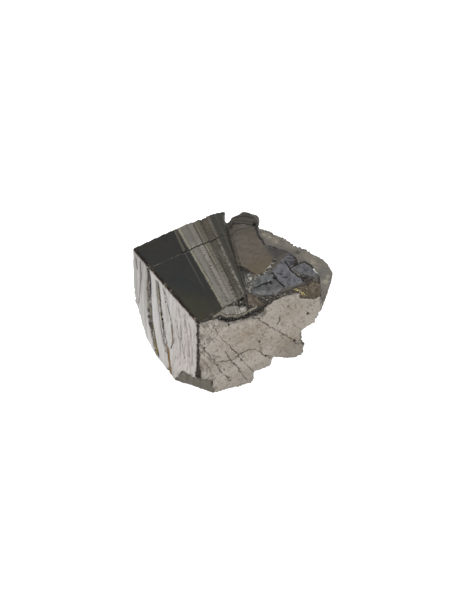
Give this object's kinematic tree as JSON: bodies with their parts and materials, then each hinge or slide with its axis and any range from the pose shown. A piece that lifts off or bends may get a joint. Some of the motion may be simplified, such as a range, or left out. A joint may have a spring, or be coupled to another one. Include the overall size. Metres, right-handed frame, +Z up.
{
  "type": "shungite stone",
  "caption": "Blocky broken piece of lustrous shungite with a glassy black top, striated silvery sides, a stepped underside and a flat base to rest on.",
  "frame": {"origin": "middle of the stone's bounding box, on the surface it rests on", "axes": "+Z up, +X along the longest extent, with the upright near edge towards -Y and the striated left face towards -X"},
  "size_m": [0.03, 0.0274, 0.015],
  "materials": {
    "shungite": "glassy on the top, satin and half metallic on the sides",
    "pyrite": "metallic grain grown into the stone"
  },
  "bodies": {
    "root": {"shungite_stone": "shungite"}
  },
  "joints": []
}
